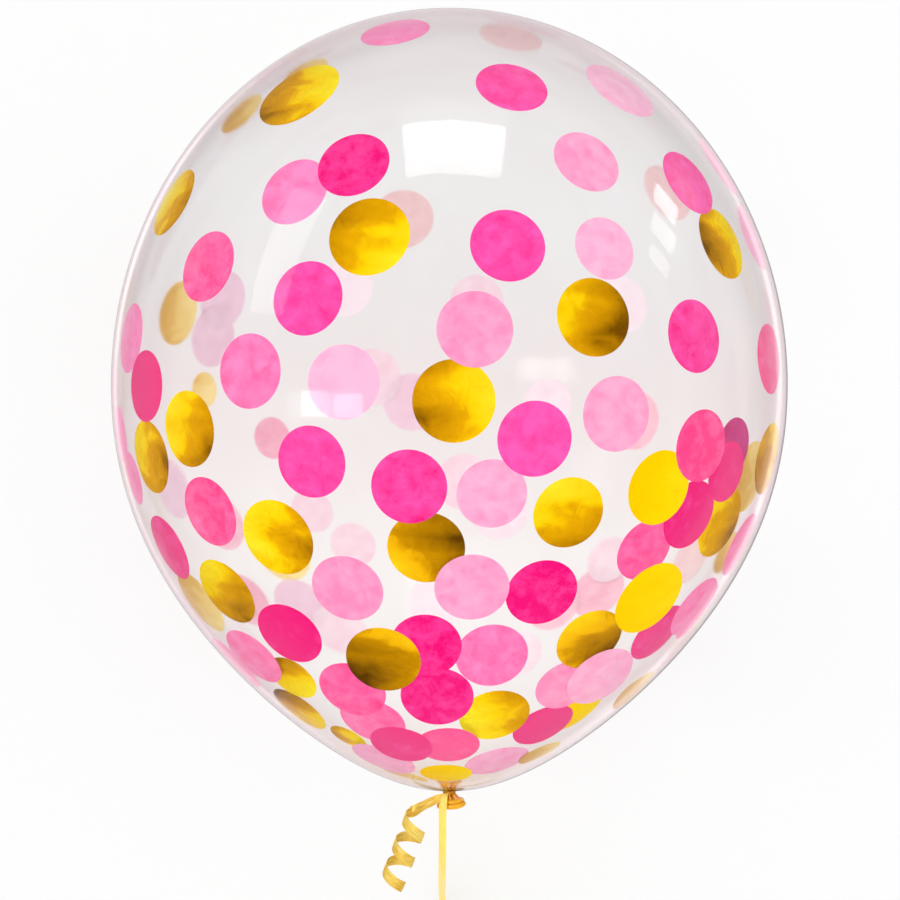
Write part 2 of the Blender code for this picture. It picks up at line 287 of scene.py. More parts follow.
def finish_piece(thing, material):
    thing.data.materials.append(material)
    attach(thing, "root")
    return thing


def from_pinch(offset):
    """World place of an offset (sideways, along, up) from the middle of the pinch."""
    sideways, along, up = offset
    return Vector((sideways, along - PINCH_MIDDLE, AXIS_HEIGHT + up))


# Camera
def make_camera():
    camera = new_object("camera", bpy.data.cameras.new("camera"))
    camera.location = CAMERA_PLACE
    camera.data.sensor_width = SENSOR_WIDTH
    camera.data.lens = LENS
    bpy.context.scene.camera = camera


# Shader helpers
def grey(value):
    return (value, value, value)


def new_material(name):
    material = bpy.data.materials.new(name)
    material.use_nodes = True
    return material, material.node_tree


def set_inputs(node, values):
    """Links each of these inputs to an output, or sets it to a plain value."""
    for key, value in values.items():
        socket = node.inputs[key]
        if isinstance(value, bpy.types.NodeSocket):
            node.id_data.links.new(value, socket)
        elif socket.type == "RGBA":
            socket.default_value = (*value, 1.0)
        else:
            socket.default_value = value


def add_node(tree, kind, values=None, **settings):
    node = tree.nodes.new("ShaderNode" + kind)
    for name, value in settings.items():
        setattr(node, name, value)
    set_inputs(node, values or {})
    return node


def add_noise(source, scale, detail=3.0, roughness=0.55, distortion=0.0):
    grain = {"Scale": scale, "Detail": detail, "Roughness": roughness, "Distortion": distortion}
    return add_node(source.id_data, "TexNoise", {"Vector": source, **grain}).outputs["Fac"]


def add_ramp(source, stops):
    """A colour ramp with (place, linear colour) stops."""
    ramp = add_node(source.id_data, "ValToRGB", {"Fac": source})
    elements = ramp.color_ramp.elements
    while len(elements) < len(stops):
        elements.new(0.5)
    for element, (place, colour) in zip(elements, stops):
        element.position = place
        element.color = (*colour, 1.0)
    return ramp.outputs["Color"]


def add_photo_ramp(source, stops):
    """A colour ramp with (place, colour read from the photo) stops."""
    return add_ramp(source, [(place, linear(*colour)) for place, colour in stops])


def add_mix(tree, factor, first, second, blend="MIX"):
    values = {0: factor, 6: first, 7: second}
    return add_node(tree, "Mix", values, data_type="RGBA", blend_type=blend).outputs[2]


def add_math(operation, first, second):
    return add_node(first.id_data, "Math", {0: first, 1: second}, operation=operation).outputs[0]


def add_share(value, texture, share):
    """The value with a share of a noise texture added."""
    return add_math("ADD", value, add_math("MULTIPLY", texture, share))


def add_drift(value, texture, share):
    """The value with some of a noise texture added, as much up as down."""
    return add_share(value, add_math("SUBTRACT", texture, 0.5), share)


def add_bump(height, strength, distance):
    values = {"Strength": strength, "Distance": distance, "Height": height}
    return add_node(height.id_data, "Bump", values).outputs["Normal"]


def finish_material(material, looks):
    """Links or sets these inputs of the material's own shader."""
    set_inputs(material.node_tree.nodes["Principled BSDF"], looks)
    return material


def object_place(tree):
    return add_node(tree, "TexCoord").outputs["Object"]


def carried_value(tree, name):
    """A value that each corner of the mesh carries."""
    return add_node(tree, "Attribute", attribute_name=name).outputs["Fac"]


# Materials
def film_material():
    """Clear latex: a faint grey, deepest at the crown by painted shade and where it is seen at a slant,
    amber by the neck.
    """
    material, tree = new_material("clear_latex")
    place = object_place(tree)
    split = add_node(tree, "SeparateXYZ", {0: place})
    along = add_math("ADD", split.outputs["Y"], PINCH_MIDDLE)
    share = add_math("DIVIDE", along, PINCH_MIDDLE + CROWN_LENGTH)
    drifted = add_drift(share, add_noise(place, 9.0, detail=2.0), 0.14)
    # Along the axis: amber by the neck, then a grey whose painted shade deepens towards the crown
    stops = (
        (0.00, (250, 226, 188)), (0.03, (253, 246, 240)), (0.08, (254, 251, 250)),
        (0.30, (254, 251, 250)), (0.52, (250, 245, 245)), (0.66, (248, 246, 246)),
        (0.80, (249, 248, 248)), (0.95, (246, 243, 243)),
    )
    slant = add_node(tree, "LayerWeight", {"Blend": 0.5}).outputs["Facing"]
    longer_way = add_ramp(slant, ((0.30, WHITE), (0.62, (0.978, 0.960, 0.964))))
    colour = add_mix(tree, 1.0, add_photo_ramp(drifted, stops), longer_way, "MULTIPLY")
    looks = {"Base Color": colour, "Roughness": 0.06, "IOR": 1.2, "Transmission Weight": 1.0}
    return finish_material(material, looks)


def tissue_material(name, deep, bright, sheer=0.25):
    """Thin tissue paper: cloudy patches, fine fibres and a little light passing through; each disc's carried
    tone is partly its own and partly painted light and shade.
    """
    material, tree = new_material(name)
    place = object_place(tree)
    clouds = add_noise(place, 150.0, detail=5.0, roughness=0.62, distortion=0.3)
    fibres = add_noise(place, 900.0, detail=2.0, roughness=0.7, distortion=1.5)
    clouded = add_drift(carried_value(tree, "shade"), clouds, 1.7)
    both = add_drift(clouded, fibres, 0.5)
    return finish_material(material, {
        "Base Color": add_photo_ramp(both, ((0.0, deep), (1.0, bright))),
        "Roughness": 0.5,
        "IOR": 1.2,
        "Specular IOR Level": 0.0,
        "Transmission Weight": sheer,
        "Normal": add_bump(clouds, 0.3, 0.0004),
    })


def foil_material(name, colours, metallic=0.4, crinkled=0.3):
    """Metallic foil with painted reflections: a painted shaded part, a soft step and a painted bright part,
    with painted sheen streaks and painted glints on the crinkles.
    """
    material, tree = new_material(name)
    place = object_place(tree)
    # Stretched noise lays painted sheen streaks; the crinkles add painted glints as well as bumps
    streaks = {"Vector": place, "Rotation": (0.0, 0.0, radians(-40)), "Scale": (0.35, 1.5, 1.0)}
    lay = add_node(tree, "Mapping", streaks).outputs["Vector"]
    bands = add_noise(lay, 60.0, detail=1.5, roughness=0.45, distortion=0.5)
    crinkle = add_noise(place, 150.0, detail=4.0, roughness=0.6, distortion=1.2)
    banded = add_drift(carried_value(tree, "shade"), bands, 0.75)
    both = add_drift(banded, crinkle, crinkled)
    return finish_material(material, {
        "Base Color": add_photo_ramp(both, list(zip(FOIL_STOPS, colours))),
        "Metallic": metallic,
        "Specular IOR Level": 0.0,
        "Roughness": 0.3,
        "Normal": add_bump(add_drift(bands, crinkle, 1.2), 0.6, 0.0014),
    })


def ribbon_material(name, dark, middle, bright, metallic, roughness):
    """Curling ribbon: metallic satin with fine ribs along its length."""
    material, tree = new_material(name)
    lay = add_node(tree, "UVMap", uv_map="lay").outputs[0]
    stretch = add_node(tree, "VectorMath", {0: lay, 1: (22.0, 0.9, 1.0)}, operation="MULTIPLY")
    ribs = add_noise(stretch.outputs[0], 1.0, detail=3.0, roughness=0.6)
    patches = add_noise(object_place(tree), 120.0, detail=2.0)
    both = add_share(add_math("MULTIPLY", ribs, 0.7), patches, 0.3)
    return finish_material(material, {
        "Base Color": add_photo_ramp(both, ((0.36, dark), (0.5, middle), (0.64, bright))),
        "Metallic": metallic,
        "Roughness": roughness,
        "Normal": add_bump(ribs, 0.4, 0.0001),
    })


def neck_material():
    """Thick amber latex: golden on the rolls, turned brown in the creases by painted shade."""
    material, tree = new_material("amber_latex")
    drift = add_noise(object_place(tree), 420.0, detail=3.0)
    both = add_share(carried_value(tree, "crease_shade"), drift, 0.25)
    stops = ((0.2, (238, 170, 20)), (0.5, (228, 140, 8)), (1.0, (140, 66, 4)))
    return finish_material(material, {
        "Base Color": add_photo_ramp(both, stops),
        "Roughness": 0.25,
        "Coat Weight": 0.5,
        "Coat Roughness": 0.08,
        "Normal": add_bump(drift, 0.3, 0.0002),
    })


# Curves
def smooth_points(route, spacing):
    """Points about this far apart on one smooth curve through the route's points."""
    ends = [route[0] * 2 - route[1]] + list(route) + [route[-1] * 2 - route[-2]]
    dense = []
    for before, start, end, after in zip(ends, ends[1:], ends[2:], ends[3:]):
        pieces = max(2, round((end - start).length / spacing * 4))
        for i in range(pieces):
            t = i / pieces
            place = start + (end - before) * (t / 2)
            place += (before * 2 - start * 5 + end * 4 - after) * (t**2 / 2)
            place += (start * 3 - before - end * 3 + after) * (t**3 / 2)
            dense.append(place)
    dense.append(route[-1].copy())
    return even_points(dense, spacing)


def even_points(dense, spacing):
    runs = [0.0]
    for first, second in zip(dense, dense[1:]):
        runs.append(runs[-1] + (second - first).length)
    count = max(2, round(runs[-1] / spacing))
    points = []
    place = 0
    for i in range(count + 1):
        wanted = runs[-1] * i / count
        while place < len(runs) - 2 and runs[place + 1] < wanted:
            place += 1
        share = (wanted - runs[place]) / (runs[place + 1] - runs[place])
        points.append(dense[place].lerp(dense[place + 1], share))
    return points


def tangent_at(points, i):
    before = points[max(0, i - 1)]
    after = points[min(len(points) - 1, i + 1)]
    return (after - before).normalized()


def make_strip(name, points, facings, width=RIBBON_WIDTH, gathered=0.0):
    """A closed flat ribbon along the points; its face looks along the facings and is slightly cupped.

    It is narrow where it comes out of the knot and has its full width after the gathered length.
    """
    places = []
    lay = []
    run = 0.0
    count = RIBBON_STEPS_ACROSS + 1
    shares = [k / RIBBON_STEPS_ACROSS * 2 - 1 for k in range(count)]
    for i, (point, facing) in enumerate(zip(points, facings)):
        tangent = tangent_at(points, i)
        face = (facing - tangent * facing.dot(tangent)).normalized()
        side = tangent.cross(face)
        if i:
            run += (point - points[i - 1]).length
        spread = 1.0
        if gathered:
            spread = GATHERED_SHARE + (1 - GATHERED_SHARE) * step_between(run, 0, gathered)
        for lift, order in ((RIBBON_THICKNESS / 2, shares), (-RIBBON_THICKNESS / 2, shares[::-1])):
            for share in order:
                cup = RIBBON_CUP * (0.5 - share**2) * (3 - 2 * spread)
                places.append(point + side * (share * width / 2 * spread) + face * (cup + lift))
                lay.append(((share + 1) / 2, run / RIBBON_WIDTH))
    ring = 2 * count
    faces = []
    last = (len(points) - 1) * ring
    for near in range(0, last, ring):
        faces += ring_faces(near, near + ring, ring)
    for k in range(RIBBON_STEPS_ACROSS):
        faces.append((k, k + 1, ring - 2 - k, ring - 1 - k))
        faces.append((last + ring - 1 - k, last + ring - 2 - k, last + k + 1, last + k))
    strip = mesh_object(name, places, faces)
    strip.data.set_sharp_from_angle(angle=SHARP_ANGLE)
    layer = strip.data.uv_layers.new(name="lay")
    for loop in strip.data.loops:
        layer.data[loop.index].uv = lay[loop.vertex_index]
    return strip


# Ribbon
def step_between(value, low, high):
    share = min(1.0, max(0.0, (value - low) / (high - low)))
    return share * share * (3 - 2 * share)


def tail_points():
    """The tail's line from the knot to the floor, the coil's turns after it and the coil's centre."""
    route = []
    for i, (sideways, along, up) in enumerate(TAIL_ROUTE):
        drop = TAIL_DROP * (1 - step_between(i, 3, 6))
        route.append(from_pinch((sideways, along, up - drop)))
    floor_height = RIBBON_THICKNESS + RIBBON_CUP
    edge_height = COIL_LOW[2] + RIBBON_WIDTH / 2
    for (sideways, along), height in zip(TAIL_FLOOR_ROUTE, (floor_height, edge_height)):
        route.append(Vector((sideways, along - PINCH_MIDDLE, height)))
    centre = Vector((*COIL_MIDDLE.xy, edge_height))
    outer = COIL_RADIUS - COIL_TURN_SPACING / 2
    turns = []
    for i in range(round(COIL_TURNS * COIL_POINTS_A_TURN) + 1):
        angle = pi + 2 * pi * i / COIL_POINTS_A_TURN
        radius = outer - COIL_TURN_SPACING * i / COIL_POINTS_A_TURN
        turns.append(centre + Vector((cos(angle), sin(angle), 0.0)) * radius)
    return smooth_points(route, TAIL_SPACING), turns, centre


def make_tail(material):
    """The long end: its face turned to the camera, then flat on the floor, then on edge in the coil."""
    free, turns, centre = tail_points()
    points = even_points(free + turns, TAIL_SPACING)
    facings = []
    for i, point in enumerate(points):
        tangent = tangent_at(points, i)
        level = tangent.cross(UP).normalized().cross(tangent)
        lying = step_between(-point.y, *TAIL_LIES)
        edge = step_between(-point.y, *TAIL_STANDS)
        if (point - centre).xy.length < COIL_RADIUS:
            edge = 1.0
        angle = TAIL_LEAN * (1 - lying) + pi / 2 * edge
        facing = Matrix.Rotation(angle, 3, tangent) @ level
        facings.append(facing)
        reach = abs(tangent.cross(facing).z) * RIBBON_WIDTH / 2 + RIBBON_THICKNESS + RIBBON_CUP
        point.z = max(point.z, reach)
    tail = make_strip("long_ribbon", points, facings, gathered=GATHERED_LENGTH)
    finish_piece(tail, material)
    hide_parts("ribbon_tail", "ribbon_coil")
    return tail


def curl_points():
    """The lead from the knot, the curl's helix and the line that it winds round."""
    axis = smooth_points([from_pinch(offset) for offset in CURL_AXIS_ROUTE], 0.0005)
    helix = []
    for i in range(CURL_STEPS + 1):
        share = i / CURL_STEPS
        at = share * (len(axis) - 1)
        low = min(int(at), len(axis) - 2)
        middle = axis[low].lerp(axis[low + 1], at - low)
        direction = tangent_at(axis, low)
        right = UP.cross(direction).normalized()
        towards = direction.cross(right).normalized()
        angle = CURL_START_ANGLE - CURL_SWEEP * share
        out = right * cos(angle) + towards * sin(angle)
        helix.append(middle + out * CURL_RADIUS)
    lead = [from_pinch(offset) for offset in CURL_LEAD_ROUTE]
    joined = smooth_points(lead + helix[: 2 * CURL_JOIN + 1 : CURL_JOIN], CURL_SPACING)
    end = min(range(len(joined)), key=lambda i: (joined[i] - helix[CURL_JOIN]).length)
    return joined[:end], helix[CURL_JOIN:], axis


def make_curl(material):
    """The short end: it twists as it leaves the knot, then winds round its own axis."""
    lead, helix, axis = curl_points()
    points = even_points(lead + helix, CURL_SPACING)
    facings = []
    direction = (axis[-1] - axis[0]).normalized()
    for i in range(len(points)):
        curled = step_between(i * CURL_SPACING, *CURL_BEGINS)
        width_way = CURL_LEAD_WIDTH_WAY.lerp(direction, curled)
        facings.append(width_way.cross(tangent_at(points, i)))
    curl = make_strip("curled_ribbon", points, facings, gathered=GATHERED_LENGTH * 0.7)
    finish_piece(curl, material)
    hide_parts("ribbon_curl")
    return curl


def make_knot(material):
    """The ribbon's wraps round the pinch, gathered to a narrow cord."""
    points = []
    facings = []
    for i in range(KNOT_STEPS + 1):
        share = i / KNOT_STEPS
        turned = 2 * pi * KNOT_TURNS * share
        angle = radians(100) + turned
        radius = PINCH_RADIUS + 0.0003 + 0.0004 * share
        slip = NECK_PINCH_MIDDLE - PINCH_MIDDLE + 0.0006 * cos(turned / 2 + 0.6)
        out = Vector((cos(angle), 0.0, sin(angle)))
        points.append(from_pinch((0.0, -slip, 0.0)) + out * radius)
        facings.append(out)
    wraps = make_strip("ribbon_knot_wraps", points, facings, width=KNOT_WIDTH)
    finish_piece(wraps, material)
    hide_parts("ribbon_knot")
    return wraps


def boxy(value):
    """A sine or cosine drawn out, so that a circle becomes a rounded rectangle."""
    return copysign(abs(value) ** 0.32, value)


def make_tie(material):
    """The narrow band round the coil, doubled over where it is fastened."""
    low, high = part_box("coil_tie")
    middle = (low + high) / 2
    reach = (high - low) / 2 - Vector((0.0, 0.0003, 0.0003))
    points = []
    facings = []
    for i in range(round(TIE_STEPS_A_TURN * TIE_TURNS) + 1):
        angle = 2 * pi * i / TIE_STEPS_A_TURN + radians(40)
        way = Vector((0.0, boxy(cos(angle)), boxy(sin(angle))))
        points.append(middle + way * reach)
        facings.append(way.normalized())
    line = even_points(points, TIE_SPACING)
    nearest = [min(range(len(points)), key=lambda i: (points[i] - place).length_squared) for place in line]
    tie = make_strip("coil_band", line, [facings[i] for i in nearest])
    finish_piece(tie, material)
    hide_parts("coil_tie")
    return tie


# Balloon
def body_radius_at(distance):
    """Radius of the body at a distance from its widest ring: positive towards the neck."""
    share = distance / BASE_LENGTH if distance > 0 else -distance / CROWN_LENGTH
    taper = 1 - BASE_TAPER * share**BASE_TAPER_POWER if distance > 0 else 1.0
    return BODY_RADIUS * sqrt(max(0.0, 1 - share**2)) * taper


def film_profile():
    """Points (radius, distance) from the crown's pole to the base's, without the poles."""
    distances = [-CROWN_LENGTH * cos(pi / 2 * i / FILM_CROWN_RINGS) for i in range(1, FILM_CROWN_RINGS)]
    distances += [BASE_LENGTH * sin(pi / 2 * i / FILM_BASE_RINGS) for i in range(FILM_BASE_RINGS)]
    return [Vector((body_radius_at(distance), distance)) for distance in distances]


def film_surface(profile, inset, start):
    """Places and outward faces of one closed turned surface, flat where it rests on the floor."""
    places = [Vector((0.0, CROWN_LENGTH - inset, AXIS_HEIGHT))]
    for radius, distance in profile:
        for k in range(FILM_SIDES):
            angle = 2 * pi * k / FILM_SIDES
            height = AXIS_HEIGHT + radius * cos(angle)
            places.append(Vector((radius * sin(angle), -distance, max(inset, height))))
    places.append(Vector((0.0, inset - BASE_LENGTH, AXIS_HEIGHT)))
    last = start + len(places) - 1
    last_ring = last - FILM_SIDES
    faces = fan_faces(start, start + 1, FILM_SIDES)
    for near in range(start + 1, last_ring, FILM_SIDES):
        faces += ring_faces(near, near + FILM_SIDES, FILM_SIDES)
    return places, faces + [face[::-1] for face in fan_faces(last, last_ring, FILM_SIDES)]


def make_film(material):
    """The clear skin: an outer and an inner surface, a quarter of a millimetre apart."""
    profile = film_profile()
    inner = []
    for i, point in enumerate(profile):
        way = tangent_at(profile, i)
        inner.append(point + Vector((-way.y, way.x)) * FILM_THICKNESS)
    places, faces = film_surface(profile, 0.0, 0)
    inner_places, inner_faces = film_surface(inner, FILM_THICKNESS, len(places))
    faces += [face[::-1] for face in inner_faces]
    film = mesh_object("clear_balloon_skin", places + inner_places, faces)
    finish_piece(film, material)
    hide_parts("balloon")
    film.visible_diffuse = False
    film.visible_shadow = False
    return film


def roll_points(middle, distance, radius, first, last, steps):
    """Part of a rolled edge, turned from one angle to another round its own centre line."""
    points = []
    for i in range(steps + 1):
        angle = radians(first + (last - first) * i / steps)
        across = middle + radius * cos(angle)
        points.append((across, distance - radius * sin(angle), ROLL_PLEATS, ROLL_CREASE_SHADE))
    return points


def neck_profile():
    """(radius, distance, pleat depth, painted crease shade) from the funnel's rim inside the film to the
    mouth.
    """
    pinch_start = NECK_PINCH_MIDDLE - NECK_PINCH_WIDTH / 2
    pinch_end = NECK_PINCH_MIDDLE + NECK_PINCH_WIDTH / 2
    points = [(0.0, pinch_start - FUNNEL_LENGTH + 0.0006, 0.0, 0.5)]
    for share in (0.4, 0.8, 0.95):
        points.append((FUNNEL_RADIUS * share, pinch_start - FUNNEL_LENGTH + 0.0004, 0.04, 0.35))
    for i in range(9):
        share = i / 8
        radius = PINCH_RADIUS + (FUNNEL_RADIUS - PINCH_RADIUS) * (1 - share) ** 1.15
        distance = pinch_start - FUNNEL_LENGTH * (1 - share)
        points.append((radius, distance, 0.05 + 0.12 * share, 0.1 + 0.5 * share))
    for i in range(1, 5):
        share = i / 4
        points.append((PINCH_RADIUS, pinch_start + NECK_PINCH_WIDTH * share, 0.17, 0.75))
    for i in range(1, 9):
        share = i / 9
        radius = PINCH_RADIUS + (FLARE_RADIUS - PINCH_RADIUS) * share**0.9
        distance = pinch_end + FLARE_LENGTH * share
        points.append((radius, distance, 0.21 - 0.16 * share, 0.6 - 0.35 * share))
    upper = pinch_end + FLARE_LENGTH + UPPER_ROLL_RADIUS * 0.6
    lower = upper + ROLL_SPACING
    points += roll_points(FLARE_RADIUS + 0.0004, upper, UPPER_ROLL_RADIUS, 100, -60, 9)
    points.append((FLARE_RADIUS + 0.0007, (upper + lower) / 2 - 0.0001, ROLL_PLEATS, 0.75))
    points += roll_points(FLARE_RADIUS + 0.0007, lower, LOWER_ROLL_RADIUS, 60, -200, 15)
    points.append((0.0022, lower - 0.0006, 0.05, 0.7))
    points.append((0.0, lower - 0.0016, 0.0, 0.9))
    return points


def make_neck(material):
    """Amber neck: a pleated funnel, the pinch, a pleated flare and the twice rolled lip, slightly tilted."""
    profile = neck_profile()
    places = []
    crease_shades = []
    for radius, distance, depth, crease_shade in profile:
        beyond = min(1.0, max(0.0, distance - NECK_PINCH_MIDDLE) / (2 * FLARE_LENGTH))
        for k in range(NECK_SIDES):
            angle = 2 * pi * k / NECK_SIDES
            wave = cos(NECK_PLEATS * angle + 0.8 * sin(2 * angle + 0.5))
            wave += 0.45 * cos(5 * angle + 1.9)
            size = radius * (1 + depth * wave)
            tilt = 0.07 * size * sin(angle) * beyond
            ripple = 0.00016 * sin(3 * angle + 0.7) * beyond
            along = distance - tilt + ripple
            sideways = size * sin(angle) + LIP_SHIFT * beyond
            places.append(Vector((sideways, -along, AXIS_HEIGHT + size * cos(angle))))
            crease_shades.append(max(0.0, min(1.0, crease_shade - wave * depth * 2.2)))
    faces = []
    for near in range(0, len(places) - NECK_SIDES, NECK_SIDES):
        faces += ring_faces(near, near + NECK_SIDES, NECK_SIDES)
    neck = mesh_object("amber_neck", places, faces)
    # Each corner carries how deep the painted shade of its crease or pleat fold is
    values = neck.data.attributes.new("crease_shade", "FLOAT", "POINT")
    values.data.foreach_set("value", crease_shades)
    finish_piece(neck, material)
    return neck


# Confetti
def wall_gap(place):
    """How far outside the body's surface a place is, square to the axis."""
    return hypot(place.x, place.z - AXIS_HEIGHT) - body_radius_at(-place.y)


def wall_normal(place):
    """How the gap to the wall grows along each axis; it points out of the body and is about one long."""
    step = 0.0001
    slopes = []
    for axis in range(3):
        offset = Vector()
        offset[axis] = step
        slopes.append((wall_gap(place + offset) - wall_gap(place - offset)) / (2 * step))
    return Vector(slopes)


def on_wall(place, depth):
    """The place moved square to the wall until it lies this deep inside the body's surface."""
    here = place.copy()
    for _ in range(4):
        slope = wall_normal(here)
        here -= slope * (wall_gap(here) / max(1e-6, slope.length_squared))
    inward = here - wall_normal(here).normalized() * depth
    inward.z = max(inward.z, depth)
    return inward


def pixel_ray(across, down):
    """The way from the camera through a pixel of the photo."""
    return Vector((across - PHOTO_MIDDLE, PHOTO_MIDDLE - down, -PHOTO_REACH)).normalized()


def wall_hits(across, down):
    """Where the photo's line of sight through a pixel enters and leaves the body."""
    ray = pixel_ray(across, down)
    steps = 400
    start = CAMERA_PLACE.z - BALLOON_HIGH[2] - 0.01
    length = BALLOON_HIGH[2] + 0.06
    hits = []
    was = wall_gap(CAMERA_PLACE + ray * start)
    for i in range(1, steps + 1):
        far = start + length * i / steps
        near = far - length / steps
        gap = wall_gap(CAMERA_PLACE + ray * far)
        if gap * was < 0:
            for _ in range(30):
                middle = (near + far) / 2
                if wall_gap(CAMERA_PLACE + ray * middle) * was > 0:
                    near = middle
                else:
                    far = middle
            hits.append(CAMERA_PLACE + ray * near)
        was = gap
    return hits


def seen_at(place):
    """The photo's pixel where the camera sees a place."""
    scale = PHOTO_REACH / (CAMERA_PLACE.z - place.z)
    across = PHOTO_MIDDLE + scale * (place.x - CAMERA_PLACE.x)
    return across, PHOTO_MIDDLE - scale * (place.y - CAMERA_PLACE.y)


class Pose:
    """Where a disc lies: along the wall, then leaned about its lowest edge towards the camera."""

    def __init__(self, centre, radius, depth, lean):
        self.centre = centre
        self.depth = depth
        self.outward = wall_normal(centre).normalized()
        self.across = self.outward.cross(Vector((0.0, 1.0, 0.0))).normalized()
        self.along = self.across.cross(self.outward)
        self.turn = None
        downhill = self.outward * self.outward.z - UP
        if lean > 0 and downhill.length > 0.05:
            self.pivot = on_wall(centre + downhill.normalized() * radius, depth)
            self.turn = Matrix.Rotation(lean, 3, self.outward.cross(UP).normalized())
        self.middle = self.place(0.0, 0.0)
        self.face = self.turn @ self.outward if self.turn else self.outward

    def place(self, first, second, lift=0.0):
        here = on_wall(self.centre + self.across * first + self.along * second, self.depth + lift)
        if self.turn is None:
            return here
        return self.pivot + self.turn @ (here - self.pivot)

    def is_in_front(self, spot, radius):
        """Whether a spot lies in front of a disc of this pose and radius."""
        offset = spot - self.middle
        height = offset.dot(self.face)
        beside = sqrt(max(0.0, offset.length_squared - height**2))
        sag = beside**2 / (2 * BODY_RADIUS)
        return beside < radius and -sag - LEAST_CLEARANCE < height < HEAP_REACH


def lean_at(place):
    """How far a disc of the heap by the neck turns from the wall towards the camera, from 0 to 1."""
    near_neck = step_between(-place.y, *HEAP_STARTS) * (1 - step_between(-place.y, *HEAP_ENDS))
    return near_neck * max(0.0, 1 - (place.x / HEAP_HALF_WIDTH) ** 2)


def shade_of(disc, where):
    """What a disc's spot carries: its tone, partly painted light and shade, or for foil how near its painted
    highlight it is.
    """
    if disc.kind not in FOIL_KINDS:
        return disc.tone * 1.3 - 0.2
    return FOIL_HIGHLIGHT_EDGE + (where - 1 + 2 * disc.tone) * FOIL_SPREAD


def circle(radius):
    """The corners of one ring of a disc, from its middle."""
    angles = [2 * pi * k / DISC_SIDES for k in range(DISC_SIDES)]
    return [(radius * cos(angle), radius * sin(angle)) for angle in angles]


class Confetti:
    """Discs against the wall, gathered into one mesh for each kind."""

    def __init__(self):
        self.dice = random.Random(7)
        self.placed = []
        self.poses = []
        self.meshes = {}

    def layer_for(self, centre, radius):
        """One more than the highest layer of the discs that this one overlaps."""
        layers = [
            layer for place, size, layer in self.placed if (place - centre).length < radius + size + 0.0005
        ]
        return max(layers) + 1 if layers else 0

    def crosses(self, pose, radius):
        """Whether some of a disc would come out in front of one that was placed before it."""
        others = [other for other in self.poses if pose.turn or other[0].turn]
        spots = (pose.place(*spot) for spot in circle(radius) + circle(radius / 2))
        return any(other.is_in_front(spot, size) for spot in spots for other, size in others)

    def pose_for(self, disc, radius, wrinkle, far):
        """A pose at the disc's pixel, a step deeper for as long as it would cross a disc before it."""
        for extra in range(MOST_TRIES):
            pose, layer, centre = self.pose_at(disc, radius, wrinkle, far, extra)
            if far or not self.crosses(pose, radius):
                break
        self.placed.append((centre, radius, layer))
        if not far:
            self.poses.append((pose, radius))
        return pose

    def pose_at(self, disc, radius, wrinkle, far, extra):
        """The pose whose centre the camera sees at the disc's pixel, its layer and its place on the wall."""
        across, down = disc.across, disc.down
        layer = None
        for _ in range(3):
            hits = wall_hits(across, down)
            if not hits:
                break
            centre = hits[-1] if far else hits[0]
            if layer is None:
                layer = self.layer_for(centre, radius)
            share = 0.0 if far else lean_at(centre)
            depth = FILM_THICKNESS + DISC_GAP + wrinkle + layer * (LAYER_STEP + HEAP_STEP * share)
            pose = Pose(centre, radius, depth + extra * DEEPER_STEP, MOST_LEAN * share)
            seen = seen_at(pose.middle)
            across += disc.across - seen[0]
            down += disc.down - seen[1]
        return pose, layer, centre

    def add(self, disc, far=False):
        foil = disc.kind in FOIL_KINDS
        radius = disc.radius or (FOIL_RADIUS if foil else TISSUE_RADIUS)
        wrinkle = FOIL_WRINKLE if foil else TISSUE_WRINKLE
        pose = self.pose_for(disc, radius, wrinkle, far)
        turn = self.dice.uniform(0, 2 * pi)
        phases = [self.dice.uniform(0, 2 * pi) for _ in range(4)]
        # The way that the foil's painted highlight faces, and how far the disc reaches that way
        way = radians(disc.bright_way)
        bright = Vector((cos(way), sin(way), 0.0))
        extent = radius * hypot(pose.across.dot(bright), pose.along.dot(bright))
        places, faces, shades = self.meshes.setdefault(disc.kind, ([], [], []))
        start = len(places)
        spots = [(0.0, 0.0)]
        for ring in range(1, DISC_RINGS + 1):
            spots += circle(radius * ring / DISC_RINGS)
        for lift in (-DISC_THICKNESS / 2, DISC_THICKNESS / 2):
            for first, second in spots:
                u = (first * cos(turn) - second * sin(turn)) / radius
                v = (first * sin(turn) + second * cos(turn)) / radius
                wave = sin(3.1 * u + phases[0] + 0.8 * sin(2.2 * v + phases[1]))
                wave += 0.5 * sin(5.3 * v + phases[2] + 1.2 * sin(2.9 * u + phases[3]))
                place = pose.place(first, second, lift + wrinkle * wave / 1.5)
                places.append(place)
                shades.append(shade_of(disc, (place - pose.middle).dot(bright) / extent))
        back = start + len(spots)
        rim = 1 + (DISC_RINGS - 1) * DISC_SIDES
        for middle, order in ((start, 1), (back, -1)):
            found = fan_faces(middle, middle + 1, DISC_SIDES)
            for near in range(middle + 1, middle + rim, DISC_SIDES):
                found += ring_faces(near, near + DISC_SIDES, DISC_SIDES)
            faces += [face[::order] for face in found]
        faces += ring_faces(start + rim, back + rim, DISC_SIDES)

    def build(self, materials):
        pieces = []
        for kind, (places, faces, shades) in self.meshes.items():
            name, slot = KINDS[kind]
            discs = mesh_object(name, places, faces)
            discs.data.set_sharp_from_angle(angle=SHARP_ANGLE)
            values = discs.data.attributes.new("shade", "FLOAT", "POINT")
            values.data.foreach_set("value", shades)
            discs.visible_shadow = kind in FAR_KINDS
            discs.visible_diffuse = kind in FAR_KINDS
            pieces.append(finish_piece(discs, materials[kind]))
        return pieces


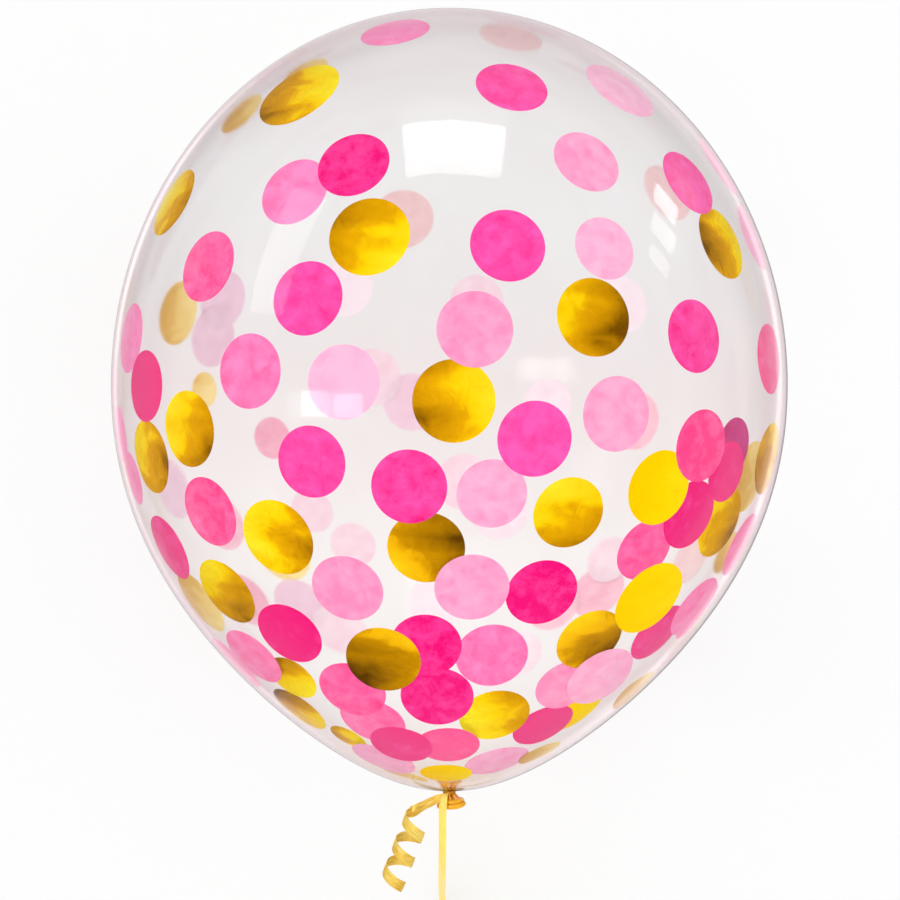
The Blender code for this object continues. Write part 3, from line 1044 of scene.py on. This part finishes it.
def confetti_materials():
    # Foil ramps run from painted shade through a soft step to painted highlight
    gold = ((120, 78, 0), (196, 138, 0), (232, 172, 2), (254, 212, 4), (255, 238, 44))
    # The same gold foil's ramp, deeper by painted shade
    bronze = ((92, 58, 0), (160, 110, 0), (200, 142, 0), (242, 182, 8), (255, 216, 24))
    # The same gold foil's ramp, evenly bright by painted light
    yellow = ((250, 196, 0), (254, 206, 0), (255, 212, 0), (255, 216, 4), (255, 224, 20))
    # Far foil, paled by a painted veil of light, also for the pale_gold discs by the rim
    far_gold = ((198, 150, 76), (216, 170, 90), (228, 188, 110), (240, 208, 132), (248, 226, 160))
    return {
        "hot": tissue_material("hot_pink_tissue", (238, 8, 124), (255, 96, 186), 0.2),
        # The hot pink tissue again, darker by painted shade
        "plum": tissue_material("shaded_pink_tissue", (186, 44, 112), (214, 82, 150), 0.12),
        "mid": tissue_material("mid_pink_tissue", (252, 66, 142), (255, 144, 200), 0.24),
        "light": tissue_material("light_pink_tissue", (250, 142, 190), (255, 194, 222), 0.28),
        "gold": foil_material("gold_foil", gold),
        "bronze": foil_material("shaded_gold_foil", bronze),
        "yellow": foil_material("bright_gold_foil", yellow, metallic=0.1, crinkled=0.05),
        # Far tissues, paled by a painted veil of light
        "rose": tissue_material("far_rose_tissue", (244, 170, 194), (254, 214, 226)),
        "dusty": tissue_material("far_mid_pink_tissue", (240, 202, 204), (253, 228, 228)),
        "mauve": tissue_material("far_hot_pink_tissue", (240, 206, 224), (253, 230, 242)),
        "pale": tissue_material("far_light_pink_tissue", (248, 218, 230), (255, 244, 250)),
        "pale_gold": foil_material("far_gold_foil", far_gold, metallic=0.15),
    }


def make_confetti():
    confetti = Confetti()
    near = [Disc(*row) for row in NEAR_CONFETTI]
    for disc in near:
        confetti.add(disc)
    for row in FAR_CONFETTI:
        confetti.add(Disc(*row), far=True)
    hiding = [disc for disc in near if disc.kind in HIDING_KINDS and disc.down < LOWEST_HIDING]
    for i, disc in enumerate(hiding):
        kind = HIDDEN_KINDS[i % len(HIDDEN_KINDS)]
        confetti.add(Disc(kind, disc.across, disc.down, radius=HIDDEN_DISC_RADIUS), far=True)
    return confetti.build(confetti_materials())


# Studio
def make_floor():
    size = 12.0
    places = [(-size, -size, 0.0), (size, -size, 0.0), (size, size, 0.0), (-size, size, 0.0)]
    floor = mesh_object("floor", places, [(0, 1, 2, 3)])
    floor.location.z = -0.0001
    looks = {"Base Color": grey(0.843), "Roughness": 0.9, "Specular IOR Level": 0.0}
    floor.data.materials.append(finish_material(new_material("floor")[0], looks))
    floor.visible_glossy = False
    floor.visible_transmission = False


def make_world():
    """White all round; the skin mirrors a dark room that is bright straight down, the foil a lively one."""
    world = bpy.data.worlds.new("studio")
    bpy.context.scene.world = world
    world.use_nodes = True
    world.cycles.sampling_method = "NONE"
    tree = world.node_tree
    way = add_node(tree, "TexCoord").outputs["Generated"]
    split = add_node(tree, "SeparateXYZ", {0: way})
    rise = add_math("MULTIPLY", add_math("ADD", split.outputs["Z"], 1.0), 0.5)
    tilted = add_math("SUBTRACT", rise, add_math("MULTIPLY", split.outputs["X"], 0.025))
    room_stops = (
        (0.000, (0.30, 0.28, 0.30)), (0.010, (0.40, 0.37, 0.39)), (0.020, (0.72, 0.66, 0.68)),
        (0.032, (1.06, 0.95, 0.98)), (0.050, (0.98, 0.86, 0.89)), (0.072, (0.82, 0.71, 0.74)),
        (0.105, (0.62, 0.50, 0.52)), (0.150, (0.26, 0.20, 0.21)), (0.210, (0.05, 0.045, 0.05)),
        (0.600, grey(0.04)), (1.000, grey(0.12)),
    )
    dim = add_ramp(tilted, room_stops)
    pink = (1.0, 0.88, 0.90)
    line = add_ramp(tilted, ((0.044, BLACK), (0.062, pink), (0.074, pink), (0.092, BLACK)))
    sideways = add_math("ABSOLUTE", split.outputs["X"], 0.0)
    beside = add_ramp(sideways, ((0.20, BLACK), (0.42, WHITE)))
    gaps = add_noise(way, 2.2, detail=1.0)
    broken = add_ramp(gaps, ((0.38, grey(0.1)), (0.60, WHITE)))
    streak = add_mix(tree, 1.0, add_mix(tree, 1.0, line, beside, "MULTIPLY"), broken, "MULTIPLY")
    room = add_mix(tree, 1.0, dim, streak, "ADD")
    paths = add_node(tree, "LightPath").outputs
    mirrored = add_math("MINIMUM", paths["Glossy Depth"], 1.0)
    inside = add_math("GREATER_THAN", paths["Transmission Depth"], 3.5)
    patches = add_noise(way, 2.4, detail=2.0, distortion=0.6)
    lively = add_ramp(patches, ((0.30, grey(0.35)), (0.62, grey(1.45))))
    seen = add_mix(tree, inside, room, lively)
    plain = add_mix(tree, paths["Is Diffuse Ray"], grey(0.982), grey(0.92))
    shown = add_mix(tree, mirrored, plain, seen)
    set_inputs(tree.nodes["Background"], {"Color": shown})


def make_sun(name, way, strength, width):
    """Soft light from far away; way points from the object towards it."""
    sun = new_object(name, bpy.data.lights.new(name, "SUN"))
    sun.data.energy = strength
    sun.data.angle = radians(width)
    sun.rotation_euler = Vector(way).to_track_quat("Z", "Y").to_euler()
    sun.visible_glossy = False
    sun.visible_transmission = False
    return sun


def reflected_panel(things, name, mark, azimuth, elevation, distance, size, brightness, roll=0.0):
    """A panel that only these things mirror, in a direction from mark (degrees from +Y to +X, and up)."""
    turn = radians(azimuth)
    rise = radians(elevation)
    way = Vector((sin(turn) * cos(rise), cos(turn) * cos(rise), sin(rise)))
    panel = new_object(name, bpy.data.lights.new(name, "AREA"))
    panel.data.shape = "RECTANGLE"
    panel.data.size, panel.data.size_y = size
    panel.data.energy = brightness * pi * size[0] * size[1]
    panel.location = Vector(mark) + way * distance
    rolled = Quaternion(UP, radians(roll))
    panel.rotation_euler = (way.to_track_quat("Z", "Y") @ rolled).to_euler()
    panel.visible_camera = False
    panel.visible_diffuse = False
    panel.visible_transmission = False
    light_only(panel, things)


def light_only(light, things):
    """Lets a light shine on these things alone."""
    group = bpy.data.collections.new(light.name + "_receivers")
    for thing in things:
        group.objects.link(thing)
    light.light_linking.receiver_collection = group


def make_lights(film, glossy_pieces, discs):
    """Two soft suns, panels for the skin and the neck to mirror, and a glow on the neck and the discs."""
    make_sun("key", (-0.45, 0.35, 1.0), 0.60, 50)
    make_sun("fill", (0.50, -0.35, 1.0), 0.34, 80)
    crown = (0.003, 0.09, 0.28)
    window = (-0.045, -0.012, 0.296)
    left = (-0.067, 0.05, 0.281)
    right = (0.087, 0.067, 0.260)
    for panel in (
        ("crown_softbox", crown, 1.3, 22.0, 1.2, (0.61, 0.42), 17.0),
        ("window_left_pane", window, -97.0, 45.5, 1.5, (0.175, 0.26), 19.0, -8.0),
        ("window_right_pane", window, -100.5, 57.0, 1.5, (0.175, 0.26), 19.0, -8.0),
        ("left_tall_window", left, -56.0, 22.0, 1.4, (0.80, 0.34), 8.0, 15.0),
        ("right_top_pane", right, 54.4, -7.6, 1.0, (0.135, 0.125), 20.0, 20.0),
        ("right_middle_pane", right, 59.5, 1.0, 1.0, (0.150, 0.125), 9.0, 24.0),
        ("right_low_pane", right, 64.4, 8.4, 1.0, (0.135, 0.085), 8.0, 28.0),
    ):
        reflected_panel([film], *panel)
    lip = (0.0, -0.19, 0.16)
    reflected_panel(glossy_pieces, "neck_softbox", lip, -40.0, 82.0, 1.2, (0.50, 0.62), 4.5)
    light_only(make_sun("front", (-0.25, -0.8, 0.5), 1.1, 70), glossy_pieces)
    for turn in range(4):
        way = (sin(turn * pi / 2), cos(turn * pi / 2), 0.08)
        light_only(make_sun(f"side_glow_{turn + 1}", way, 0.30, 60), discs)


# Assembly
bpy.context.scene.view_settings.view_transform = "Standard"
make_camera()
gold_ribbon = ribbon_material("gold_ribbon", (212, 150, 30), (252, 208, 84), (255, 244, 148), 0.3, 0.3)
# The same gold ribbon for the tail, brighter by painted light
painted_light_ribbon = ribbon_material("pale_gold_ribbon", (248, 216, 96), (254, 228, 112), (255, 234, 128), 0.1, 0.4)
# The same gold ribbon for the knot's wraps, darker by painted shade
knot_ribbon = ribbon_material("knot_ribbon", (150, 84, 4), (206, 132, 16), (250, 196, 60), 0.5, 0.35)
knot = make_knot(knot_ribbon)
tie = make_tie(gold_ribbon)
tail = make_tail(painted_light_ribbon)
curl = make_curl(gold_ribbon)
film = make_film(film_material())
neck = make_neck(neck_material())
discs = make_confetti()
make_floor()
make_world()
make_lights(film, [neck, knot, tail, curl], discs)
